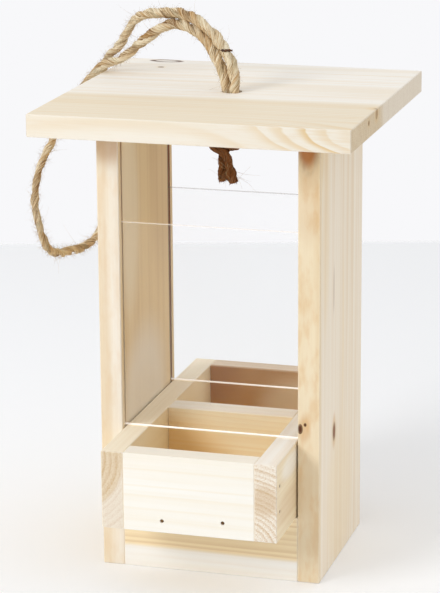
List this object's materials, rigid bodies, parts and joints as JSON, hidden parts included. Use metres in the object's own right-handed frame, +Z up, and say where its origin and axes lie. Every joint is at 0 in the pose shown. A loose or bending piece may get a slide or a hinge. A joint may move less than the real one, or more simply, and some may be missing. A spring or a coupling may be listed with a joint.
{
  "type": "bird feeder",
  "caption": "Wooden hopper bird feeder with a flat square roof, two sliding clear panes, a loose pull-out seed tray open at both ends and a rope loop to hang it by.",
  "frame": {"origin": "on the ground below the middle of the roof, between the two uprights", "axes": "+Z up along the uprights; -Y is the front, the end of the tray that the picture shows; +X to the right of someone who faces the front"},
  "size_m": [0.1856, 0.174, 0.2955],
  "materials": {
    "pine": "planed bare pine, unvarnished",
    "clear_sheet": "clear acrylic sheet with sawn edges",
    "jute_rope": "three-strand natural jute rope",
    "steel_brad": "bright steel brads, punched below the surface"
  },
  "bodies": {
    "frame": {"roof": "pine", "left_upright": "pine", "right_upright": "pine", "front_rail": "pine", "back_rail": "pine", "roof_nails": "steel_brad", "left_rail_nails": "steel_brad", "right_rail_nails": "steel_brad", "hanging_rope": "jute_rope", "rope_knot": "jute_rope", "rope_tails": "jute_rope"},
    "tray": {"tray_left_side": "pine", "tray_right_side": "pine", "tray_front_board": "pine", "tray_back_board": "pine", "tray_divider": "pine", "tray_floor": "pine", "tray_left_nails": "steel_brad", "tray_right_nails": "steel_brad", "tray_front_nails": "steel_brad", "tray_back_nails": "steel_brad"},
    "front_pane": {"front_pane": "clear_sheet"},
    "back_pane": {"back_pane": "clear_sheet"}
  },
  "joints": [
    {"name": "tray_slide", "type": "slide", "parent": "frame", "child": "tray", "axis": [0, -1, 0], "range_m": [-0.14, 0.14]},
    {"name": "front_pane_slide", "type": "slide", "parent": "frame", "child": "front_pane", "axis": [0, 0, 1], "range_m": [0, 0.0515]},
    {"name": "back_pane_slide", "type": "slide", "parent": "frame", "child": "back_pane", "axis": [0, 0, 1], "range_m": [0, 0.0515]}
  ]
}
